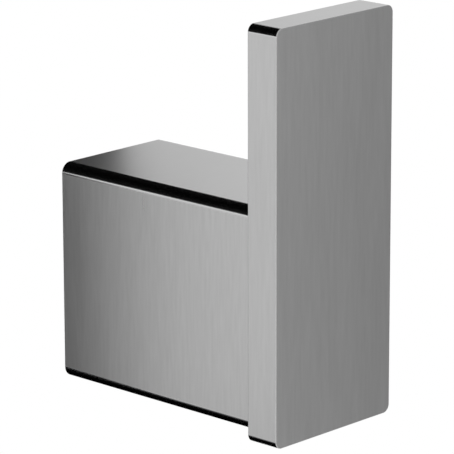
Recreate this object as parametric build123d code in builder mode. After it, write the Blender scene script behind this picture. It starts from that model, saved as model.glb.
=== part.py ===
"""Wall hook for a bathroom: a hollow rectangular post, a tall front plate and a concealed wall fixing.

Millimetres, +Z up. The wall is the plane Y = 0 and the hook stands out from it along -Y.
The origin is the middle of the post's wall end.
"""

import os
from math import radians, tan

from build123d import *

# Post: a drafted, hollow casting that is open towards the wall
post_width = 28.7
post_height = 43.7
post_length = 51.4
post_corner_radius = 2.1
post_wall = 3.0
post_front_wall = 6.0
post_rim_break = 0.1
cavity_corner_radius = 1.5
cavity_draft = 1.0

# Front plate: overhangs the post at the sides and foot, and stands up above it as the hook
plate_side_reveal = 1.8
plate_foot_reveal = 1.45
plate_rise = 35.1
plate_thickness = 7.15
plate_corner_radius = 1.6
plate_front_break = 0.15
plate_back_break = 0.1
plate_skin = 1.8

# Plate screws: socket-head screws from inside the post into tapped holes in the plate
plate_screw_spacing = 22.0
plate_screw_diameter = 4.0
plate_screw_head_diameter = 7.0
plate_screw_head_height = 4.0
plate_screw_head_break = 0.4
plate_screw_socket = 3.0
plate_screw_socket_depth = 2.0
plate_screw_hole_clearance = 0.5
tap_runout = 1.0
thread_clearance = 0.1

# Wall bracket: a folded strip that the post slides over
bracket_width = 14.0
bracket_sheet = 2.0
bracket_depth = 12.0
bracket_bend_radius = 1.0
bracket_tip_radius = 2.0
bracket_clearance = 0.3
wall_screw_spacing = 22.0
wall_screw_hole = 5.0

# Set screw: locks the post to the bracket's lower flange from below
set_screw_diameter = 4.0
set_screw_inset = 7.0
set_screw_recess = 0.3
set_screw_reach = 1.8
set_screw_point = 0.8
set_screw_socket = 2.0
set_screw_socket_depth = 2.2
set_screw_hole_clearance = 0.8

# Sizes that follow from the ones above
cavity_width = post_width - 2 * post_wall
cavity_height = post_height - 2 * post_wall
cavity_depth = post_length - post_front_wall
plate_width = post_width + 2 * plate_side_reveal
plate_height = post_height + plate_foot_reveal + plate_rise
plate_middle = (plate_rise - plate_foot_reveal) / 2
tapped_depth = plate_thickness - plate_skin
cavity_taper_at_flange = bracket_depth * tan(radians(cavity_draft))
bracket_height = cavity_height - 2 * (bracket_clearance + cavity_taper_at_flange)
set_screw_length = (post_height - bracket_height) / 2 - set_screw_recess + set_screw_reach

# Planes that the pieces share, all seen from the front
wall_plane = Plane.XZ
head_seat_plane = Plane.XZ.offset(cavity_depth)
plate_back_plane = Plane.XZ.offset(post_length)

plate_screw_places = [(0, plate_screw_spacing / 2), (0, -plate_screw_spacing / 2)]
wall_screw_places = [(0, wall_screw_spacing / 2), (0, -wall_screw_spacing / 2)]

# Post
with BuildPart() as post:
    with BuildSketch(wall_plane):
        RectangleRounded(post_width, post_height, post_corner_radius)
    extrude(amount=post_length)
    rim = post.faces().sort_by(Axis.Y)[-1]
    fillet(rim.edges(), radius=post_rim_break)
    with BuildSketch(wall_plane):
        RectangleRounded(cavity_width, cavity_height, cavity_corner_radius)
    extrude(amount=cavity_depth, taper=cavity_draft, mode=Mode.SUBTRACT)
    with BuildSketch(plate_back_plane):
        with Locations(*plate_screw_places):
            Circle((plate_screw_diameter + plate_screw_hole_clearance) / 2)
    extrude(amount=-post_front_wall, mode=Mode.SUBTRACT)
    with BuildSketch(Plane.XY.offset(-post_height / 2)):
        with Locations((0, -set_screw_inset)):
            Circle((set_screw_diameter + thread_clearance) / 2)
    extrude(amount=post_height / 2, mode=Mode.SUBTRACT)

# Front plate
with BuildPart() as front_plate:
    with BuildSketch(plate_back_plane):
        with Locations((0, plate_middle)):
            RectangleRounded(plate_width, plate_height, plate_corner_radius)
    extrude(amount=plate_thickness)
    front_face, back_face = front_plate.faces().filter_by(Axis.Y).sort_by(Axis.Y)
    fillet(front_face.edges(), radius=plate_front_break)
    fillet(back_face.edges(), radius=plate_back_break)
    with BuildSketch(plate_back_plane):
        with Locations(*plate_screw_places):
            Circle((plate_screw_diameter + thread_clearance) / 2)
    extrude(amount=tapped_depth, mode=Mode.SUBTRACT)

# Plate screws
with BuildPart() as plate_screws:
    with BuildSketch(head_seat_plane):
        with Locations(*plate_screw_places):
            Circle(plate_screw_head_diameter / 2)
    extrude(amount=-plate_screw_head_height)
    head_tops = plate_screws.faces().filter_by(Axis.Y).group_by(Axis.Y)[-1]
    chamfer(head_tops.edges(), length=plate_screw_head_break)
    with BuildSketch(head_seat_plane):
        with Locations(*plate_screw_places):
            Circle(plate_screw_diameter / 2)
    extrude(amount=post_front_wall + tapped_depth - tap_runout)
    with BuildSketch(head_seat_plane.offset(-plate_screw_head_height)):
        with Locations(*plate_screw_places):
            RegularPolygon(plate_screw_socket / 2, 6, major_radius=False)
    extrude(amount=plate_screw_socket_depth, mode=Mode.SUBTRACT)

# Wall bracket
with BuildPart() as wall_bracket:
    flange_middle = (bracket_height - bracket_sheet) / 2
    with BuildSketch(Plane.YZ):
        with BuildLine():
            FilletPolyline(
                (-bracket_depth, flange_middle),
                (-bracket_sheet / 2, flange_middle),
                (-bracket_sheet / 2, -flange_middle),
                (-bracket_depth, -flange_middle),
                radius=bracket_bend_radius + bracket_sheet / 2,
            )
        trace(line_width=bracket_sheet)
    extrude(amount=bracket_width / 2, both=True)
    flange_tips = wall_bracket.edges().filter_by(Axis.Z).group_by(Axis.Y)[0]
    fillet(flange_tips, radius=bracket_tip_radius)
    with BuildSketch(wall_plane):
        with Locations(*wall_screw_places):
            Circle(wall_screw_hole / 2)
    extrude(amount=bracket_sheet, mode=Mode.SUBTRACT)
    with BuildSketch(Plane.XY.offset(-bracket_height / 2)):
        with Locations((0, -set_screw_inset)):
            Circle((set_screw_diameter + set_screw_hole_clearance) / 2)
    extrude(amount=bracket_sheet, mode=Mode.SUBTRACT)

# Set screw
with BuildPart() as set_screw:
    set_screw_foot = Plane.XY.offset(set_screw_recess - post_height / 2)
    with BuildSketch(set_screw_foot):
        with Locations((0, -set_screw_inset)):
            Circle(set_screw_diameter / 2)
    extrude(amount=set_screw_length)
    point = set_screw.faces().sort_by(Axis.Z)[-1]
    chamfer(point.edges(), length=set_screw_point)
    with BuildSketch(set_screw_foot):
        with Locations((0, -set_screw_inset)):
            RegularPolygon(set_screw_socket / 2, 6, major_radius=False)
    extrude(amount=set_screw_socket_depth, mode=Mode.SUBTRACT)

post.part.label = "post"
front_plate.part.label = "front_plate"
plate_screws.part.label = "plate_screws"
wall_bracket.part.label = "wall_bracket"
set_screw.part.label = "set_screw"

os.makedirs("parts", exist_ok=True)
export_step(post.part, "parts/post.step")
export_step(front_plate.part, "parts/front_plate.step")
export_step(plate_screws.part, "parts/plate_screws.step")
export_step(wall_bracket.part, "parts/wall_bracket.step")
export_step(set_screw.part, "parts/set_screw.step")
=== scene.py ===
"""Bath hook: the brushed post and plate, their hidden fixings and the studio they stand in.

Metres, +Z up. The wall is the plane Y = 0 and the hook stands out from it along -Y.
"""

import math

import bpy
from mathutils import Matrix, Vector
from mathutils.geometry import tessellate_polygon


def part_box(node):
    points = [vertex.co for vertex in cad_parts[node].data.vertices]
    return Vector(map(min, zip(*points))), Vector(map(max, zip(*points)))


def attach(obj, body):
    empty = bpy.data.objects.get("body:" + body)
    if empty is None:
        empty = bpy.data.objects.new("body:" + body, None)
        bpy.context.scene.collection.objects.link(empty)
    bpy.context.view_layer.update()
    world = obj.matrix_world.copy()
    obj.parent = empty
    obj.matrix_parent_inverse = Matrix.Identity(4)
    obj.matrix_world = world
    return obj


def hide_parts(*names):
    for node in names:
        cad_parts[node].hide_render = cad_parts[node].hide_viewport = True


bl_info = {
    "name": "Bath hook",
    "version": (1, 0, 0),
    "blender": (4, 5, 0),
    "location": "View3D > Sidebar > Bath hook",
    "description": "Builds a brushed wall hook with its fixings, and the studio round it",
    "category": "Object",
}

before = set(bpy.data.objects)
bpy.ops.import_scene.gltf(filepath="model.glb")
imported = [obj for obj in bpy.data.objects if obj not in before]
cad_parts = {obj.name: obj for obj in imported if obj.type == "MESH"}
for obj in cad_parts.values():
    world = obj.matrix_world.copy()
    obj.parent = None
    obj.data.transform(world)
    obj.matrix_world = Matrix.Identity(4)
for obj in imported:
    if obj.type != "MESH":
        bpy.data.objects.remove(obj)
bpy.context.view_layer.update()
POST_LOW, POST_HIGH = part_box("post")
PLATE_LOW, PLATE_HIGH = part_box("front_plate")
SCREWS_LOW, SCREWS_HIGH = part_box("plate_screws")
SET_SCREW_LOW, SET_SCREW_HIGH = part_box("set_screw")

MM = 0.001
WELDS_PER_METRE = 1e8
SIDE_X = Vector((1, 0, 0))
INTO_WALL = Vector((0, 1, 0))
UPWARDS = Vector((0, 0, 1))

# Material slots that the post's and the plate's faces share
SIDES, LEVELS, EDGES, INSIDE, FRONT = range(5)

# Brushed grain: the scales of its bands and grooves against its streaks, and their shares
BAND_SCALE = 0.3
GROOVE_SCALE = 2.5
STREAK_SHARE = 0.65
GLOSS_FLOOR = 0.93
GLOSS_SWING = 0.14
POST_TONE_SHARE = 1.3
LEVEL_TONE_SHARE = 0.3
EDGE_TONE_SHARE = 0.5

# Waves per metre of the other metals' marks
CAST_GRAIN = (2600, 2600, 2600)
CAST_CLOUD = (140, 140, 140)
SHEET_CLOUD = (260, 260, 260)
SHEET_LINES = (2200, 2200, 120)
TOOL_MARKS = (1800, 1800, 1800)

# Black flags behind the hook, on slanted upright planes, and the soft strip beside an edge: X and Z
FLAG_SLANT = 0.154
FLAG_GAP = 0.056
FLAG_EDGE = 0.0682
FLAG_OUTLINE = (
    (-0.08, -0.2), (FLAG_EDGE, -0.2), (FLAG_EDGE, -0.035), (-0.025, -0.035), (-0.025, 0.012),
    (FLAG_EDGE, 0.012), (FLAG_EDGE, 0.064), (0.083, 0.0745), (0.08, 0.15), (0.05, 0.25),
    (-0.061, 0.25), (-0.061, 0.018), (-0.075, 0.002))
FAR_FLAG_GAP = 0.14
FAR_FLAG_OUTLINE = (
    (0.1, 0.08), (0.1615, 0.1135), (0.208, 0.139), (0.207, 0.157), (0.184, 0.194), (0.16, 0.228), (0.14, 0.3),
    (0.1, 0.3))
STRIP_GAP = 0.057
STRIP_END = 0.085
STRIP_LOW = (FLAG_EDGE, 0.03)
STRIP_HIGH = (STRIP_END, 0.075)
STRIP_LEVELS = (0.56, 0.76)

# Level cards below the hook: corners in X and Y, and heights
FOOT_OUTLINE = (
    (-1.6, -0.04), (0.0, -0.04), (0.0, 0.11), (0.2, 0.16), (0.45, 0.31), (0.7, 0.47), (0.7, 1.6), (-1.6, 1.6))
NEAR_LOW = (-1.2, -1.3)
NEAR_HIGH = (-0.1, -0.15)
LEFT_CARDS_HEIGHT = -0.2
FRONT_FOOT_OUTLINE = ((0.05, -0.5), (0.7, -0.24), (0.6, -0.1), (0.05, -0.1))
FRONT_FOOT_HEIGHT = -0.24
FOOT_SHADE_CENTRE = (0.2, 0.18, 0.0)
FOOT_SHADE_REACH = (0.43, 0.65)

# Upright cards: the two ends in X and Y, and the lowest and highest Z
HORIZON_ENDS = ((-3.0, 1.0), (-1.0, 3.0))
HORIZON_HEIGHTS = (-0.25, 0.15)
FRONT_ENDS = ((0.0, -0.52), (1.05, -0.1))
FRONT_HEIGHTS = (-0.3, 0.2)
FRONT_FADE_WAY = (1.0, 0.0, -0.2)
FRONT_FADE_REACH = (0.07, 0.55)

# Sky: the ways to its brighter right and left sides, and where they and the overhead light begin and end
SKY_SIDE_WAY = (0.8, -0.6, 0.0)
SKY_SIDE_REACH = (-0.3, 0.6)
SKY_LEFT_WAY = (-0.8, -0.6, 0.0)
SKY_LEFT_REACH = (0.3, 0.5)
OVERHEAD_REACH = (0.88, 0.98)
FLOOR_STEPS = 96


class HookShape(bpy.types.PropertyGroup):
    """Sizes of the hook's pieces that the frame's boxes don't give."""

    arc_steps: bpy.props.IntProperty(
        name="Arc steps", description="Steps in each rounded corner", default=14, min=3)
    edge_steps: bpy.props.IntProperty(
        name="Edge steps", description="Steps in each broken edge", default=4, min=1)
    hole_steps: bpy.props.IntProperty(
        name="Hole steps", description="Steps round each hole and screw", default=40, min=12)
    post_corner: bpy.props.FloatProperty(
        name="Post corner", description="Radius of the post's long edges",
        default=2.1 * MM, unit="LENGTH")
    post_rim_break: bpy.props.FloatProperty(
        name="Post rim break", description="Rounding of the post's wall end",
        default=0.1 * MM, unit="LENGTH")
    post_wall: bpy.props.FloatProperty(
        name="Post wall", description="Thickness of the post's walls at the mouth",
        default=3.0 * MM, unit="LENGTH")
    post_front_wall: bpy.props.FloatProperty(
        name="Post front wall", description="Thickness of the wall that the plate is screwed to",
        default=6.0 * MM, unit="LENGTH")
    cavity_corner: bpy.props.FloatProperty(
        name="Cavity corner", description="Radius of the cavity's corners at the mouth",
        default=1.5 * MM, unit="LENGTH")
    cavity_draft: bpy.props.FloatProperty(
        name="Cavity draft", description="Slope of the cavity's walls",
        default=math.radians(1.0), subtype="ANGLE")
    plate_corner: bpy.props.FloatProperty(
        name="Plate corner", description="Radius of the plate's corners",
        default=1.6 * MM, unit="LENGTH")
    plate_front_break: bpy.props.FloatProperty(
        name="Plate front break", description="Rounding of the plate's front edges",
        default=0.15 * MM, unit="LENGTH")
    plate_back_break: bpy.props.FloatProperty(
        name="Plate back break", description="Rounding of the plate's back edges",
        default=0.1 * MM, unit="LENGTH")
    plate_skin: bpy.props.FloatProperty(
        name="Plate skin", description="Metal left in front of the plate's tapped holes",
        default=1.8 * MM, unit="LENGTH")
    screw_head: bpy.props.FloatProperty(
        name="Screw head", description="Diameter of a plate screw's head",
        default=7.0 * MM, unit="LENGTH")
    screw_head_height: bpy.props.FloatProperty(
        name="Screw head height", description="Height of a plate screw's head",
        default=4.0 * MM, unit="LENGTH")
    screw_head_break: bpy.props.FloatProperty(
        name="Screw head break", description="Bevel round a plate screw's head",
        default=0.4 * MM, unit="LENGTH")
    screw_socket: bpy.props.FloatProperty(
        name="Screw socket", description="Width across the flats of a plate screw's socket",
        default=3.0 * MM, unit="LENGTH")
    screw_socket_depth: bpy.props.FloatProperty(
        name="Screw socket depth", description="Depth of a plate screw's socket",
        default=2.0 * MM, unit="LENGTH")
    set_screw_point: bpy.props.FloatProperty(
        name="Set screw point", description="Height of the set screw's point",
        default=0.8 * MM, unit="LENGTH")
    set_screw_socket: bpy.props.FloatProperty(
        name="Set screw socket", description="Width across the flats of the set screw's socket",
        default=2.0 * MM, unit="LENGTH")
    set_screw_socket_depth: bpy.props.FloatProperty(
        name="Set screw socket depth", description="Depth of the set screw's socket",
        default=2.2 * MM, unit="LENGTH")
    screw_hole: bpy.props.FloatProperty(
        name="Screw hole", description="Diameter of the plate screws' holes in the post",
        default=4.5 * MM, unit="LENGTH")
    tapped_hole: bpy.props.FloatProperty(
        name="Tapped hole", description="Diameter of the tapped holes in plate and post",
        default=4.1 * MM, unit="LENGTH")
    thread: bpy.props.FloatProperty(
        name="Thread", description="Outer diameter of the screws' threads",
        default=4.0 * MM, unit="LENGTH")
    thread_pitch: bpy.props.FloatProperty(
        name="Thread pitch", description="Distance from one thread to the next",
        default=0.7 * MM, unit="LENGTH")
    thread_depth: bpy.props.FloatProperty(
        name="Thread depth", description="Depth of the screws' threads",
        default=0.43 * MM, unit="LENGTH")


class HookFinish(bpy.types.PropertyGroup):
    """Colours and surfaces of the hook's finishes."""

    nickel: bpy.props.FloatVectorProperty(
        name="Nickel", description="Colour of the brushed post and plate",
        default=(0.58, 0.58, 0.58), subtype="COLOR", min=0, max=1)
    face_roughness: bpy.props.FloatProperty(
        name="Face roughness", description="Roughness of the brushed faces", default=0.285)
    face_spread: bpy.props.FloatProperty(
        name="Face spread", description="How much more the faces spread light across the grain",
        default=0.6)
    level_spread: bpy.props.FloatProperty(
        name="Level spread", description="The same spread on the level tops and undersides", default=0.45)
    edge_roughness: bpy.props.FloatProperty(
        name="Edge roughness", description="Roughness of the smoother rounded edges", default=0.16)
    edge_spread: bpy.props.FloatProperty(
        name="Edge spread", description="How much more the edges spread light across the grain",
        default=0.6)
    grain_width: bpy.props.FloatProperty(
        name="Grain width", description="Width of a brush streak", default=0.6 * MM, unit="LENGTH")
    grain_length: bpy.props.FloatProperty(
        name="Grain length", description="Length of a brush streak", default=7.0 * MM, unit="LENGTH")
    grain_tone: bpy.props.FloatProperty(
        name="Grain tone", description="How far the streaks lighten and darken the metal", default=0.11)
    grain_depth: bpy.props.FloatProperty(
        name="Grain depth", description="Depth of the brushed grooves", default=0.002 * MM,
        unit="LENGTH", precision=6)
    cast: bpy.props.FloatVectorProperty(
        name="Casting", description="Colour of the plated casting inside the post",
        default=(0.34, 0.34, 0.335), subtype="COLOR", min=0, max=1)
    zinc: bpy.props.FloatVectorProperty(
        name="Zinc", description="Colour of the zinc-plated bracket",
        default=(0.55, 0.56, 0.58), subtype="COLOR", min=0, max=1)
    steel: bpy.props.FloatVectorProperty(
        name="Steel", description="Colour of the stainless screws",
        default=(0.42, 0.42, 0.43), subtype="COLOR", min=0, max=1)


class HookStage(bpy.types.PropertyGroup):
    """Camera, floor, flags and light of the studio."""

    azimuth: bpy.props.FloatProperty(
        name="Azimuth", description="Camera's turn about the hook",
        default=math.radians(-46.54), subtype="ANGLE")
    elevation: bpy.props.FloatProperty(
        name="Elevation", description="Camera's height above the horizon",
        default=math.radians(15.05), subtype="ANGLE")
    roll: bpy.props.FloatProperty(
        name="Roll", description="Camera's turn about its line of sight",
        default=math.radians(-0.155), subtype="ANGLE")
    distance: bpy.props.FloatProperty(
        name="Distance", description="From the camera to the point it circles",
        default=659.9 * MM, unit="LENGTH")
    lens: bpy.props.FloatProperty(
        name="Lens", description="Focal length in millimetres", default=269.4)
    centre: bpy.props.FloatVectorProperty(
        name="Centre", description="Point that the camera circles",
        default=(0.0, -25.0 * MM, 9.65 * MM), subtype="XYZ")
    slide: bpy.props.FloatVectorProperty(
        name="Slide", description="Camera's shift to its right and upwards",
        default=(4.21 * MM, 0.985 * MM), size=2, subtype="XYZ")
    floor_drop: bpy.props.FloatProperty(
        name="Floor drop", description="Floor's depth below the origin", default=1.0, unit="LENGTH")
    floor_radius: bpy.props.FloatProperty(
        name="Floor radius", description="Radius of the floor", default=32.0, unit="LENGTH")
    front_level: bpy.props.FloatProperty(
        name="Front level", description="Brightest level of the card that the plate's front mirrors",
        default=0.97)
    foot_level: bpy.props.FloatProperty(
        name="Foot level", description="Brightest level of the card that the post's left side mirrors",
        default=0.865)
    near_level: bpy.props.FloatProperty(
        name="Near level", description="Level of the card at the hook's front left", default=0.71)
    front_foot_level: bpy.props.FloatProperty(
        name="Front foot level", description="Level of the card below the plate's front", default=0.45)
    sky_level: bpy.props.FloatProperty(
        name="Sky level", description="Level of the sky's right side", default=0.7)
    left_level: bpy.props.FloatProperty(
        name="Left level", description="Level of the sky's left side", default=0.42)
    overhead_level: bpy.props.FloatProperty(
        name="Overhead level", description="Level of the sky straight overhead", default=0.3)
    softbox_level: bpy.props.FloatProperty(
        name="Softbox level", description="Light from each square metre of the softbox, over pi",
        default=0.396)
    softbox_size: bpy.props.FloatVectorProperty(
        name="Softbox size", description="Width and height of the softbox",
        default=(0.6, 0.5), size=2, subtype="XYZ")
    softbox_target: bpy.props.FloatVectorProperty(
        name="Softbox target", description="Point that the softbox faces",
        default=(0.0, -25.0 * MM, 20.0 * MM), subtype="XYZ")
    softbox_offset: bpy.props.FloatVectorProperty(
        name="Softbox offset", description="From that point to the softbox",
        default=(0.30, 0.27, 0.14), subtype="XYZ")


class Wire:
    """A socket of a node tree, with the arithmetic that the finishes need."""

    def __init__(self, net, socket):
        self.net = net
        self.socket = socket

    def combine(self, operation, first, second):
        return self.net.node("ShaderNodeMath", {"operation": operation}, {0: first, 1: second})

    def __add__(self, other):
        return self.combine("ADD", self, other)

    def __radd__(self, other):
        return self.combine("ADD", other, self)

    def __sub__(self, other):
        return self.combine("SUBTRACT", self, other)

    def __rsub__(self, other):
        return self.combine("SUBTRACT", other, self)

    def __mul__(self, other):
        return self.combine("MULTIPLY", self, other)

    def __rmul__(self, other):
        return self.combine("MULTIPLY", other, self)


class Net:
    """The nodes of one material or world."""

    def __init__(self, owner):
        owner.use_nodes = True
        self.tree = owner.node_tree
        self.tree.nodes.clear()

    def node(self, kind, settings=None, sockets=None, output=0):
        """Adds a node with its settings, then its values and links, and gives one of its outputs."""
        made = self.tree.nodes.new(kind)
        for name, value in (settings or {}).items():
            setattr(made, name, value)
        for name, value in (sockets or {}).items():
            if isinstance(value, Wire):
                self.tree.links.new(value.socket, made.inputs[name])
            else:
                made.inputs[name].default_value = value
        return Wire(self, made.outputs[output]) if made.outputs else None

    def colour_mix(self, factor, first, second):
        sockets = {"Factor": factor, 6: (*first, 1), 7: (*second, 1)}
        return self.node("ShaderNodeMix", {"data_type": "RGBA"}, sockets, output=2)

    def surface(self, shader):
        self.node("ShaderNodeOutputMaterial", {}, {"Surface": shader})


def shade(colour, factor):
    """The colour, lighter or darker by a factor."""
    return tuple(min(1.0, part * factor) for part in colour)


def fresh_material(name):
    """A new material, with its empty net and its object coordinates."""
    material = bpy.data.materials.new(name)
    net = Net(material)
    return material, net, net.node("ShaderNodeTexCoord", output="Object")


def noise(net, place, stretch, detail=2.0):
    """A noise value over object coordinates, with a scale for each axis."""
    moved = net.node("ShaderNodeMapping", {}, {"Vector": place, "Scale": stretch})
    return net.node("ShaderNodeTexNoise", {}, {"Vector": moved, "Scale": 1.0, "Detail": detail})


def brushed_nickel(name, finish, roughness, spread, tone, across="Y"):
    """Brushed metal: streaks that change fast along one axis, and gloss spread along that axis."""
    material = bpy.data.materials.get(name)
    if material:
        return material
    material, net, place = fresh_material(name)
    wide = 1 / finish.grain_width
    long = 1 / finish.grain_length
    stretch = tuple(wide if axis == across else long for axis in "XYZ")
    streak = noise(net, place, stretch, detail=3.0)
    band = noise(net, place, tuple(scale * BAND_SCALE for scale in stretch))
    groove = noise(net, place, tuple(scale * GROOVE_SCALE for scale in stretch))
    mix = STREAK_SHARE * streak + (1 - STREAK_SHARE) * band
    dark = shade(finish.nickel, 1 - tone)
    light = shade(finish.nickel, 1 + tone)
    crosswise = {axis: float(axis == across) for axis in "XYZ"}
    relief = net.node("ShaderNodeBump", {}, {
        "Strength": tone, "Distance": finish.grain_depth, "Height": groove})
    shader = net.node("ShaderNodeBsdfPrincipled", {}, {
        "Base Color": net.colour_mix(mix, dark, light),
        "Metallic": 1.0,
        "Roughness": roughness * GLOSS_FLOOR + roughness * GLOSS_SWING * band,
        "Anisotropic": spread,
        "Tangent": net.node("ShaderNodeCombineXYZ", {}, crosswise),
        "Normal": relief,
    })
    net.surface(shader)
    return material


def cast_metal(name, colour):
    """The plated but unbrushed surface inside the casting."""
    material = bpy.data.materials.get(name)
    if material:
        return material
    material, net, place = fresh_material(name)
    grain = noise(net, place, CAST_GRAIN, detail=4.0)
    cloud = noise(net, place, CAST_CLOUD)
    relief = net.node("ShaderNodeBump", {}, {"Strength": 0.5, "Distance": 0.02 * MM, "Height": grain})
    shader = net.node("ShaderNodeBsdfPrincipled", {}, {
        "Base Color": net.colour_mix(cloud, shade(colour, 0.85), shade(colour, 1.15)),
        "Metallic": 1.0,
        "Roughness": 0.5 + 0.15 * grain,
        "Normal": relief,
    })
    net.surface(shader)
    return material


def nickel_finishes(finish, sides, side_tone):
    """The materials of the post or the plate, in the order of their slots. Each names its own sides."""
    face = (finish.face_roughness, finish.face_spread)
    level = (finish.face_roughness, finish.level_spread)
    edge = (finish.edge_roughness, finish.edge_spread)
    return [
        brushed_nickel(sides, finish, *face, side_tone),
        brushed_nickel("nickel_levels", finish, *level, finish.grain_tone * LEVEL_TONE_SHARE),
        brushed_nickel("nickel_edges", finish, *edge, finish.grain_tone * EDGE_TONE_SHARE),
        cast_metal("nickel_casting", finish.cast),
        brushed_nickel("nickel_front", finish, *face, finish.grain_tone, "X"),
    ]


def plated_sheet(name, colour):
    """Zinc-plated sheet: faint spangle and rolling lines."""
    material, net, place = fresh_material(name)
    cloud = noise(net, place, SHEET_CLOUD, detail=3.0)
    lines = noise(net, place, SHEET_LINES)
    relief = net.node("ShaderNodeBump", {}, {"Strength": 0.3, "Distance": 0.004 * MM, "Height": lines})
    warm = (colour[0] * 1.04, colour[1], colour[2] * 0.9)
    shader = net.node("ShaderNodeBsdfPrincipled", {}, {
        "Base Color": net.colour_mix(cloud, shade(colour, 0.9), warm),
        "Metallic": 1.0,
        "Roughness": 0.32 + 0.14 * cloud,
        "Normal": relief,
    })
    net.surface(shader)
    return material


def turned_steel(name, colour):
    """Stainless steel of the screws, with faint tool marks."""
    material, net, place = fresh_material(name)
    marks = noise(net, place, TOOL_MARKS, detail=3.0)
    relief = net.node("ShaderNodeBump", {}, {"Strength": 0.25, "Distance": 0.004 * MM, "Height": marks})
    shader = net.node("ShaderNodeBsdfPrincipled", {}, {
        "Base Color": net.colour_mix(marks, shade(colour, 0.88), shade(colour, 1.1)),
        "Metallic": 1.0,
        "Roughness": 0.24 + 0.12 * marks,
        "Normal": relief,
    })
    net.surface(shader)
    return material


class Skin:
    """Gathers faces with the true normal at each corner, and makes one closed mesh of them."""

    def __init__(self):
        self.places = {}
        self.faces = []
        self.normals = []
        self.slots = []

    def vertex(self, point):
        key = tuple(round(part * WELDS_PER_METRE) for part in point)
        return self.places.setdefault(key, len(self.places))

    def face(self, corners, slot=0):
        """Adds a face of (point, normal) corners, turned so that it faces the way its normals do."""
        points = [point for point, _ in corners]
        outward = sum((normal for _, normal in corners), Vector())
        area = sum((a.cross(b) for a, b in zip(points, points[1:] + points[:1])), Vector())
        if area.dot(outward) < 0:
            corners = corners[::-1]
        indices = [self.vertex(point) for point, _ in corners]
        if len(set(indices)) == len(indices):
            self.faces.append(indices)
            self.normals.extend(normal.normalized() for _, normal in corners)
            self.slots.append(slot)

    def strip(self, first, second, slots, skip=()):
        """Joins two rings of (point, normal) corners with quads, each with its slot."""
        count = len(first)
        if isinstance(slots, int):
            slots = [slots] * count
        for i in range(count):
            if i not in skip:
                j = (i + 1) % count
                self.face([first[i], first[j], second[j], second[i]], slots[i])

    def cap(self, normal, ring, holes=(), slot=0):
        """Fills a ring, less its holes, with flat faces."""
        outlines = [[point for point, _ in outline] for outline in (ring, *holes)]
        points = [point for outline in outlines for point in outline]
        for triangle in tessellate_polygon(outlines):
            self.face([(points[i], normal) for i in triangle], slot)

    def piece(self, name, materials):
        points = [tuple(part / WELDS_PER_METRE for part in place) for place in self.places]
        mesh = bpy.data.meshes.new(name)
        mesh.from_pydata(points, [], self.faces)
        for material in materials:
            mesh.materials.append(material)
        mesh.polygons.foreach_set("material_index", self.slots)
        mesh.polygons.foreach_set("use_smooth", [True] * len(self.faces))
        mesh.normals_split_custom_set([tuple(normal) for normal in self.normals])
        mesh.update()
        piece = bpy.data.objects.new(name, mesh)
        bpy.context.scene.collection.objects.link(piece)
        return piece


def rounded_outline(low, high, radius, inset, steps):
    """Points and outward normals, in X and Z, of a rounded rectangle moved in by an inset."""
    outline = []
    for quarter in range(4):
        right = quarter in (0, 3)
        upper = quarter in (0, 1)
        x = high.x - radius if right else low.x + radius
        z = high.z - radius if upper else low.z + radius
        for step in range(steps + 1):
            angle = math.pi / 2 * (quarter + step / steps)
            out = Vector((math.cos(angle), 0, math.sin(angle)))
            outline.append((Vector((x, 0, z)) + out * (radius - inset), out))
    return outline


def section_slots(steps):
    """The slot of each step round a rounded rectangle: four corners, each with the flat after it."""
    corner = [EDGES] * steps
    return [*corner, LEVELS, *corner, SIDES, *corner, LEVELS, *corner, SIDES]


def ring_at(outline, y, lean=0.0):
    """The outline at a place along Y, with its normals leaning along Y by an angle."""
    leaned = INTO_WALL * math.sin(lean)
    return [
        (point + INTO_WALL * y, normal * math.cos(lean) + leaned)
        for point, normal in outline
    ]


def broken_edge(low, high, radius, edge, y, towards, shape):
    """Rings that round an edge, from the flat end at y to the side. towards is +1 on a wall-side end."""
    rings = []
    for step in range(shape.edge_steps + 1):
        lean = math.pi / 2 * (1 - step / shape.edge_steps)
        outline = rounded_outline(low, high, radius, edge * (1 - math.cos(lean)), shape.arc_steps)
        rings.append(ring_at(outline, y - towards * edge * (1 - math.sin(lean)), towards * lean))
    return rings


def circle(centre, radius, first, second, steps, inward=False):
    """A ring in the plane of two directions, with normals away from or towards its axis."""
    ring = []
    for step in range(steps):
        angle = 2 * math.pi * step / steps
        out = first * math.cos(angle) + second * math.sin(angle)
        ring.append((centre + out * radius, -out if inward else out))
    return ring


def facing(ring, normal):
    """The ring's points, all with one normal."""
    return [(point, normal) for point, _ in ring]


def screw_heights(shape):
    """Heights of the two plate screws."""
    return (SCREWS_LOW.z + shape.screw_head / 2, SCREWS_HIGH.z - shape.screw_head / 2)


def set_screw_axis():
    return (SET_SCREW_LOW + SET_SCREW_HIGH) / 2


def side_holes(y, diameter, shape):
    """Rings of the two plate screws' holes at a place along Y."""
    return [
        circle(Vector((0, y, z)), diameter / 2, SIDE_X, UPWARDS, shape.hole_steps, inward=True)
        for z in screw_heights(shape)
    ]


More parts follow.
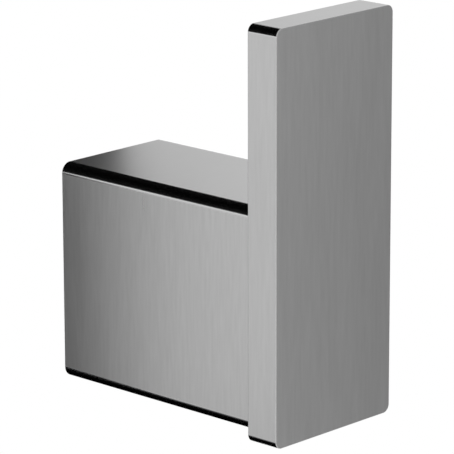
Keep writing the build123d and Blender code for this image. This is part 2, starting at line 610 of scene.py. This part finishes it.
def post_skin(shape):
    """The post: rounded outside, drafted cavity, screw holes in the front wall and underside."""
    skin = Skin()
    front = POST_LOW.y
    floor = front + shape.post_front_wall
    steps = shape.arc_steps
    underside = 3 * (steps + 1) - 1

    edge = broken_edge(POST_LOW, POST_HIGH, shape.post_corner, shape.post_rim_break, 0.0, 1, shape)
    for first, second in zip(edge, edge[1:]):
        skin.strip(first, second, EDGES)
    outside = rounded_outline(POST_LOW, POST_HIGH, shape.post_corner, 0.0, steps)
    front_ring = ring_at(outside, front)
    skin.strip(edge[-1], front_ring, section_slots(steps), (underside,))

    taper = -floor * math.tan(shape.cavity_draft)
    wall = shape.post_wall
    inner_low = POST_LOW + Vector((wall, 0, wall))
    inner_high = POST_HIGH - Vector((wall, 0, wall))
    mouth = rounded_outline(inner_low, inner_high, shape.cavity_corner, 0.0, steps)
    end = rounded_outline(inner_low, inner_high, shape.cavity_corner, taper, steps)
    mouth_ring = [(point, -normal) for point, normal in ring_at(mouth, 0.0)]
    end_ring = [(point, -normal) for point, normal in ring_at(end, floor)]
    skin.strip(facing(edge[0], INTO_WALL), facing(mouth_ring, INTO_WALL), FRONT)
    skin.strip(mouth_ring, end_ring, INSIDE, (underside,))

    passages = [side_holes(y, shape.screw_hole, shape) for y in (floor, front)]
    skin.cap(INTO_WALL, end_ring, passages[0], slot=INSIDE)
    skin.cap(-INTO_WALL, front_ring, passages[1], slot=INSIDE)
    for near, far in zip(*passages):
        skin.strip(near, far, INSIDE)

    axis = set_screw_axis()
    outer_hole = circle(Vector((0, axis.y, POST_LOW.z)), shape.tapped_hole / 2,
                        SIDE_X, INTO_WALL, shape.hole_steps, inward=True)
    slope = math.tan(shape.cavity_draft)
    inner_hole = [
        (Vector((point.x, point.y, inner_low.z - point.y * slope)), normal)
        for point, normal in outer_hole
    ]
    after = underside + 1
    outer_flat = [edge[-1][underside], edge[-1][after], front_ring[after], front_ring[underside]]
    inner_flat = [mouth_ring[underside], mouth_ring[after], end_ring[after], end_ring[underside]]
    skin.cap(-UPWARDS, outer_flat, [outer_hole], slot=LEVELS)
    skin.cap(UPWARDS, inner_flat, [inner_hole], slot=INSIDE)
    skin.strip(outer_hole, inner_hole, INSIDE)
    return skin


def plate_skin(shape):
    """The plate: rounded corners, broken edges, and blind tapped holes in its back."""
    skin = Skin()
    back, front = PLATE_HIGH.y, PLATE_LOW.y
    sizes = (PLATE_LOW, PLATE_HIGH, shape.plate_corner)
    back_edge = broken_edge(*sizes, shape.plate_back_break, back, 1, shape)
    front_edge = broken_edge(*sizes, shape.plate_front_break, front, -1, shape)
    for first, second in zip(back_edge, back_edge[1:]):
        skin.strip(first, second, EDGES)
    skin.strip(back_edge[-1], front_edge[-1], section_slots(shape.arc_steps))
    for first, second in zip(front_edge, front_edge[1:]):
        skin.strip(first, second, EDGES)
    mouths = side_holes(back, shape.tapped_hole, shape)
    ends = side_holes(front + shape.plate_skin, shape.tapped_hole, shape)
    skin.cap(INTO_WALL, back_edge[0], mouths, slot=FRONT)
    skin.cap(-INTO_WALL, front_edge[0], slot=FRONT)
    for mouth, end in zip(mouths, ends):
        skin.strip(mouth, end, INSIDE)
        skin.cap(INTO_WALL, end, slot=INSIDE)
    return skin


def screw_skin(profile, socket, socket_depth, shape):
    """A turned screw along +Z with a hexagonal socket at its start.

    profile lists (radius, height) from the driven end, with flat or coned steps between."""
    skin = Skin()
    rings = [
        circle(UPWARDS * height, radius, SIDE_X, INTO_WALL, shape.hole_steps)
        for radius, height in profile
    ]
    for (first, second), ((r0, z0), (r1, z1)) in zip(zip(rings, rings[1:]), zip(profile, profile[1:])):
        lean = Vector((z1 - z0, r0 - r1)).normalized()
        leaned = [
            [(point, normal * lean.x + UPWARDS * lean.y) for point, normal in ring]
            for ring in (first, second)
        ]
        skin.strip(*leaned, 0)
    start = profile[0][1]
    across = socket / math.sqrt(3)
    rim = circle(UPWARDS * start, across, SIDE_X, INTO_WALL, 6, inward=True)
    bed = circle(UPWARDS * (start + socket_depth), across, SIDE_X, INTO_WALL, 6, inward=True)
    skin.cap(-UPWARDS, rings[0], [rim])
    for i in range(6):
        j = (i + 1) % 6
        flat = rim[i][1] + rim[j][1]
        skin.face([(rim[i][0], flat), (rim[j][0], flat), (bed[j][0], flat), (bed[i][0], flat)])
    skin.cap(-UPWARDS, bed)
    skin.cap(UPWARDS, rings[-1])
    return skin


class ScrewTree:
    """Geometry nodes that cut a thread on a screw and set copies of it in a row."""

    INPUTS = (
        ("Root Radius", "NodeSocketFloat"),
        ("Thread Depth", "NodeSocketFloat"),
        ("Pitch", "NodeSocketFloat"),
        ("Thread Start", "NodeSocketFloat"),
        ("Thread Length", "NodeSocketFloat"),
        ("Turn", "NodeSocketRotation"),
        ("First Place", "NodeSocketVector"),
        ("Spacing", "NodeSocketVector"),
        ("Count", "NodeSocketInt"),
        ("Finish", "NodeSocketMaterial"),
    )

    def __init__(self):
        self.tree = bpy.data.node_groups.new("threaded_screw_row", "GeometryNodeTree")
        face = self.tree.interface
        face.new_socket("Screw", in_out="INPUT", socket_type="NodeSocketGeometry")
        self.keys = {
            name: face.new_socket(name, in_out="INPUT", socket_type=kind).identifier
            for name, kind in self.INPUTS
        }
        face.new_socket("Row", in_out="OUTPUT", socket_type="NodeSocketGeometry")
        self.given = self.tree.nodes.new("NodeGroupInput").outputs
        self.wire()

    def node(self, kind, settings=None, sockets=None):
        made = self.tree.nodes.new(kind)
        for name, value in (settings or {}).items():
            setattr(made, name, value)
        for name, value in (sockets or {}).items():
            if isinstance(value, bpy.types.NodeSocket):
                self.tree.links.new(value, made.inputs[name])
            else:
                made.inputs[name].default_value = value
        return made.outputs[0] if made.outputs else None

    def maths(self, operation, first, second):
        return self.node("ShaderNodeMath", {"operation": operation}, {0: first, 1: second})

    def wire(self):
        given = self.given
        turns = self.maths("DIVIDE", given["Thread Length"], given["Pitch"])
        helix = self.node("GeometryNodeCurveSpiral", {}, {
            "Resolution": 28, "Rotations": turns, "Start Radius": given["Root Radius"],
            "End Radius": given["Root Radius"], "Height": given["Thread Length"]})
        ridge = self.node("GeometryNodeCurvePrimitiveCircle", {}, {
            "Resolution": 4, "Radius": given["Thread Depth"]})
        thread = self.node("GeometryNodeCurveToMesh", {}, {
            "Curve": helix, "Profile Curve": ridge, "Fill Caps": True})
        lift = self.node("ShaderNodeCombineXYZ", {}, {"Z": given["Thread Start"]})
        raised = self.node("GeometryNodeTransform", {}, {"Geometry": thread, "Translation": lift})
        screw = self.tree.nodes.new("GeometryNodeJoinGeometry")
        self.tree.links.new(raised, screw.inputs[0])
        self.tree.links.new(given["Screw"], screw.inputs[0])
        line = self.node("GeometryNodeMeshLine", {}, {
            "Count": given["Count"], "Start Location": given["First Place"], "Offset": given["Spacing"]})
        row = self.node("GeometryNodeInstanceOnPoints", {}, {
            "Points": line, "Instance": screw.outputs[0], "Rotation": given["Turn"]})
        real = self.node("GeometryNodeRealizeInstances", {}, {"Geometry": row})
        dressed = self.node("GeometryNodeSetMaterial", {}, {
            "Geometry": real, "Material": given["Finish"]})
        self.node("NodeGroupOutput", {}, {"Row": dressed})

    def apply(self, piece, values):
        """Runs the tree on a piece and leaves the result as its plain mesh."""
        modifier = piece.modifiers.new("row", "NODES")
        modifier.node_group = self.tree
        for name, value in values.items():
            modifier[self.keys[name]] = value
        graph = bpy.context.evaluated_depsgraph_get()
        mesh = bpy.data.meshes.new_from_object(piece.evaluated_get(graph), depsgraph=graph)
        piece.modifiers.remove(modifier)
        mesh.name = piece.name
        piece.data = mesh


def finish_piece(piece, node):
    """Sets a piece in the place of its solid."""
    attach(piece, "root")
    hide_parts(node)


class BATHHOOK_OT_post(bpy.types.Operator):
    """Builds the hollow post"""

    bl_idname = "bath_hook.post"
    bl_label = "Post"

    def execute(self, context):
        finish = context.scene.hook_finish
        finishes = nickel_finishes(finish, "post_sides", finish.grain_tone * POST_TONE_SHARE)
        piece = post_skin(context.scene.hook_shape).piece("brushed_post", finishes)
        finish_piece(piece, "post")
        return {"FINISHED"}


class BATHHOOK_OT_front_plate(bpy.types.Operator):
    """Builds the front plate"""

    bl_idname = "bath_hook.front_plate"
    bl_label = "Front plate"

    def execute(self, context):
        finish = context.scene.hook_finish
        finishes = nickel_finishes(finish, "plate_sides", finish.grain_tone)
        piece = plate_skin(context.scene.hook_shape).piece("brushed_plate", finishes)
        finish_piece(piece, "front_plate")
        return {"FINISHED"}


class BATHHOOK_OT_wall_bracket(bpy.types.Operator):
    """Gives the folded bracket its plating"""

    bl_idname = "bath_hook.wall_bracket"
    bl_label = "Wall bracket"

    def execute(self, context):
        plating = plated_sheet("zinc_plating", context.scene.hook_finish.zinc)
        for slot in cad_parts["wall_bracket"].material_slots:
            slot.material = plating
        return {"FINISHED"}


class BATHHOOK_OT_screws(bpy.types.Operator):
    """Builds the plate screws and the set screw"""

    bl_idname = "bath_hook.screws"
    bl_label = "Screws"

    def execute(self, context):
        shape = context.scene.hook_shape
        steel = turned_steel("screw_steel", context.scene.hook_finish.steel)
        tree = ScrewTree()
        outer = shape.thread / 2
        root = outer - shape.thread_depth
        shared = {
            "Root Radius": root, "Thread Depth": shape.thread_depth, "Pitch": shape.thread_pitch,
            "Finish": steel,
        }

        head = shape.screw_head / 2
        bevel = shape.screw_head_break
        length = SCREWS_HIGH.y - SCREWS_LOW.y
        profile = [(head - bevel, 0.0), (head, bevel), (head, shape.screw_head_height),
                   (root, shape.screw_head_height), (root, length)]
        skin = screw_skin(profile, shape.screw_socket, shape.screw_socket_depth, shape)
        piece = skin.piece("plate_screw_pair", [steel])
        low, high = screw_heights(shape)
        tree.apply(piece, {
            **shared,
            "Thread Start": shape.screw_head_height + shape.thread_depth,
            "Thread Length": length - shape.screw_head_height - 2 * shape.thread_depth,
            "Turn": (math.pi / 2, 0.0, 0.0),
            "First Place": (0.0, SCREWS_HIGH.y, low),
            "Spacing": (0.0, 0.0, high - low),
            "Count": 2,
        })
        finish_piece(piece, "plate_screws")

        length = SET_SCREW_HIGH.z - SET_SCREW_LOW.z
        point = shape.set_screw_point
        profile = [(root, 0.0), (root, length - point / 2), (outer - point, length)]
        skin = screw_skin(profile, shape.set_screw_socket, shape.set_screw_socket_depth, shape)
        piece = skin.piece("locking_screw", [steel])
        axis = set_screw_axis()
        tree.apply(piece, {
            **shared,
            "Thread Start": shape.thread_depth,
            "Thread Length": length - point - 2 * shape.thread_depth,
            "Turn": (0.0, 0.0, 0.0),
            "First Place": (axis.x, axis.y, SET_SCREW_LOW.z),
            "Spacing": (0.0, 0.0, 0.0),
            "Count": 1,
        })
        finish_piece(piece, "set_screw")
        return {"FINISHED"}


def rectangle(low, high):
    """The corners of a rectangle, from its lowest and highest ones."""
    return [low, (high[0], low[1]), high, (low[0], high[1])]


def behind_hook(outline, gap):
    """An outline in X and Z on the slanted plane behind the hook, with its gap to the wall."""
    return [(x, gap + FLAG_SLANT * x, z) for x, z in outline]


def level_at(outline, height):
    """An outline in X and Y, laid level at a height."""
    return [(x, y, height) for x, y in outline]


def upright(ends, heights):
    """The corners of an upright card between two ends and two heights."""
    (start, end), (low, high) = ends, heights
    return [(*start, low), (*end, low), (*end, high), (*start, high)]


def card(name, corners, material):
    """A flat stage card that only reflections see."""
    mesh = bpy.data.meshes.new(name)
    mesh.from_pydata([Vector(corner) for corner in corners], [], [tuple(range(len(corners)))])
    mesh.materials.append(material)
    piece = bpy.data.objects.new(name, mesh)
    bpy.context.scene.collection.objects.link(piece)
    piece.visible_camera = False
    piece.visible_diffuse = False
    piece.visible_shadow = False
    return piece


def glow(name, level):
    """A plain even card of one grey level."""
    material = bpy.data.materials.new(name)
    net = Net(material)
    net.surface(net.node("ShaderNodeEmission", {}, {"Color": (level, level, level, 1), "Strength": 1.0}))
    return material


def step_between(net, value, reach, levels, ramp="SMOOTHSTEP"):
    """A level that goes from the first to the second while a value goes through its reach."""
    return net.node("ShaderNodeMapRange", {"interpolation_type": ramp}, {
        "Value": value, "From Min": reach[0], "From Max": reach[1],
        "To Min": levels[0], "To Max": levels[1]})


def ramp_glow(name, measure, reach, levels, ramp="SMOOTHSTEP"):
    """A card whose level changes with a distance: measure makes it from object coordinates."""
    material, net, place = fresh_material(name)
    level = step_between(net, measure(net, place), reach, levels, ramp)
    net.surface(net.node("ShaderNodeEmission", {}, {"Color": level, "Strength": 1.0}))
    return material


def away_from(point):
    """A measure of the distance from a point."""
    def measure(net, place):
        sockets = {0: place, 1: point}
        return net.node("ShaderNodeVectorMath", {"operation": "DISTANCE"}, sockets, output="Value")
    return measure


def along(direction):
    """A measure of the distance along a direction."""
    def measure(net, place):
        sockets = {0: place, 1: direction}
        return net.node("ShaderNodeVectorMath", {"operation": "DOT_PRODUCT"}, sockets, output="Value")
    return measure


def white_floor(name):
    """A pale floor that the camera, metal and glass see as plain white."""
    material = bpy.data.materials.new(name)
    net = Net(material)
    path = "ShaderNodeLightPath"
    seen = net.node(path, output="Is Camera Ray") + net.node(path, output="Is Glossy Ray")
    seen = seen + net.node(path, output="Is Transmission Ray")
    pale = net.node("ShaderNodeBsdfDiffuse", {}, {"Color": (0.8, 0.8, 0.8, 1)})
    white = net.node("ShaderNodeEmission", {}, {"Color": (1, 1, 1, 1), "Strength": 1.0})
    net.surface(net.node("ShaderNodeMixShader", {}, {0: seen, 1: pale, 2: white}))
    return material


class BATHHOOK_OT_stage(bpy.types.Operator):
    """Sets up the camera, floor, flags and light"""

    bl_idname = "bath_hook.stage"
    bl_label = "Stage"

    def execute(self, context):
        stage = context.scene.hook_stage
        context.scene.view_settings.view_transform = "Standard"
        self.camera(context, stage)
        self.floor(context, stage)
        self.flags(stage)
        self.light(context, stage)
        return {"FINISHED"}

    def camera(self, context, stage):
        turn, rise, roll = stage.azimuth, stage.elevation, stage.roll
        back = Vector((
            math.sin(turn) * math.cos(rise), -math.cos(turn) * math.cos(rise), math.sin(rise)))
        level = Vector((math.cos(turn), math.sin(turn), 0))
        plumb = back.cross(level)
        right = level * math.cos(roll) + plumb * math.sin(roll)
        up = plumb * math.cos(roll) - level * math.sin(roll)
        data = bpy.data.cameras.new("camera")
        data.lens = stage.lens
        data.sensor_width = 36.0
        data.clip_start = 0.01
        data.clip_end = 100.0
        camera = bpy.data.objects.new("camera", data)
        place = Vector(stage.centre) + back * stage.distance
        place += right * stage.slide[0] + up * stage.slide[1]
        camera.matrix_world = Matrix.Translation(place) @ Matrix((right, up, back)).transposed().to_4x4()
        context.scene.collection.objects.link(camera)
        context.scene.camera = camera

    def floor(self, context, stage):
        ring = circle(Vector((0, 0, -stage.floor_drop)), stage.floor_radius, SIDE_X, INTO_WALL, FLOOR_STEPS)
        mesh = bpy.data.meshes.new("floor")
        mesh.from_pydata([point for point, _ in ring], [], [tuple(range(len(ring)))])
        mesh.materials.append(white_floor("floor"))
        floor = bpy.data.objects.new("floor", mesh)
        context.scene.collection.objects.link(floor)

    def flags(self, stage):
        shaded = ramp_glow(
            "foot_shade", away_from(FOOT_SHADE_CENTRE), FOOT_SHADE_REACH, (0.0, stage.foot_level))
        fading = ramp_glow(
            "card_grey", along(FRONT_FADE_WAY), FRONT_FADE_REACH, (stage.front_level, 0.0), "LINEAR")
        soft = ramp_glow("edge_grey", along(SIDE_X), (FLAG_EDGE, STRIP_END), STRIP_LEVELS, "LINEAR")
        strip = rectangle(STRIP_LOW, STRIP_HIGH)
        near = rectangle(NEAR_LOW, NEAR_HIGH)
        black = glow("flag_black", 0.0)
        card("back_flag", behind_hook(FLAG_OUTLINE, FLAG_GAP), black)
        card("far_flag", behind_hook(FAR_FLAG_OUTLINE, FAR_FLAG_GAP), black)
        card("soft_strip", behind_hook(strip, STRIP_GAP), soft)
        card("foot_card", level_at(FOOT_OUTLINE, LEFT_CARDS_HEIGHT), shaded)
        card("horizon_card", upright(HORIZON_ENDS, HORIZON_HEIGHTS), glow("card_white", 1.0))
        card("near_card", level_at(near, LEFT_CARDS_HEIGHT), glow("card_pale", stage.near_level))
        card("front_foot_card", level_at(FRONT_FOOT_OUTLINE, FRONT_FOOT_HEIGHT),
             glow("card_dim", stage.front_foot_level))
        card("front_card", upright(FRONT_ENDS, FRONT_HEIGHTS), fading)

    def light(self, context, stage):
        world = bpy.data.worlds.new("studio")
        net = Net(world)
        way = net.node("ShaderNodeTexCoord", output="Generated")
        side = step_between(
            net, along(SKY_SIDE_WAY)(net, way), SKY_SIDE_REACH, (0.0, stage.sky_level))
        left = step_between(
            net, along(SKY_LEFT_WAY)(net, way), SKY_LEFT_REACH, (0.0, stage.left_level))
        overhead = step_between(
            net, along(UPWARDS)(net, way), OVERHEAD_REACH, (0.0, stage.overhead_level))
        seen = net.node("ShaderNodeLightPath", output="Is Camera Ray")
        level = (side + left + overhead) * (1.0 - seen) + seen
        sky = net.node("ShaderNodeBackground", {}, {"Color": level, "Strength": 1.0})
        net.node("ShaderNodeOutputWorld", {}, {"Surface": sky})
        context.scene.world = world
        lamp = bpy.data.lights.new("right_softbox", "AREA")
        lamp.shape = "RECTANGLE"
        lamp.size, lamp.size_y = stage.softbox_size
        lamp.energy = stage.softbox_level * math.pi * lamp.size * lamp.size_y
        softbox = bpy.data.objects.new("right_softbox", lamp)
        offset = Vector(stage.softbox_offset)
        softbox.location = Vector(stage.softbox_target) + offset
        softbox.rotation_mode = "QUATERNION"
        softbox.rotation_quaternion = (-offset).to_track_quat("-Z", "Y")
        softbox.visible_camera = False
        context.scene.collection.objects.link(softbox)


STEPS = (
    BATHHOOK_OT_post,
    BATHHOOK_OT_front_plate,
    BATHHOOK_OT_wall_bracket,
    BATHHOOK_OT_screws,
    BATHHOOK_OT_stage,
)


class BATHHOOK_PT_panel(bpy.types.Panel):
    """Lists the steps that build the hook"""

    bl_idname = "BATHHOOK_PT_panel"
    bl_label = "Bath hook"
    bl_space_type = "VIEW_3D"
    bl_region_type = "UI"
    bl_category = "Bath hook"

    def draw(self, context):
        for step in STEPS:
            self.layout.operator(step.bl_idname)
        for group in (context.scene.hook_shape, context.scene.hook_finish, context.scene.hook_stage):
            box = self.layout.box()
            for name in group.bl_rna.properties.keys():
                if name not in ("rna_type", "name"):
                    box.prop(group, name)


GROUPS = {"hook_shape": HookShape, "hook_finish": HookFinish, "hook_stage": HookStage}


def register():
    for group in GROUPS.values():
        bpy.utils.register_class(group)
    for name, group in GROUPS.items():
        setattr(bpy.types.Scene, name, bpy.props.PointerProperty(type=group))
    for step in (*STEPS, BATHHOOK_PT_panel):
        bpy.utils.register_class(step)


def unregister():
    for step in reversed((*STEPS, BATHHOOK_PT_panel)):
        bpy.utils.unregister_class(step)
    for name in GROUPS:
        delattr(bpy.types.Scene, name)
    for group in reversed(GROUPS.values()):
        bpy.utils.unregister_class(group)


def main():
    register()
    bpy.ops.bath_hook.post()
    bpy.ops.bath_hook.front_plate()
    bpy.ops.bath_hook.wall_bracket()
    bpy.ops.bath_hook.screws()
    bpy.ops.bath_hook.stage()


if __name__ == "__main__":
    main()
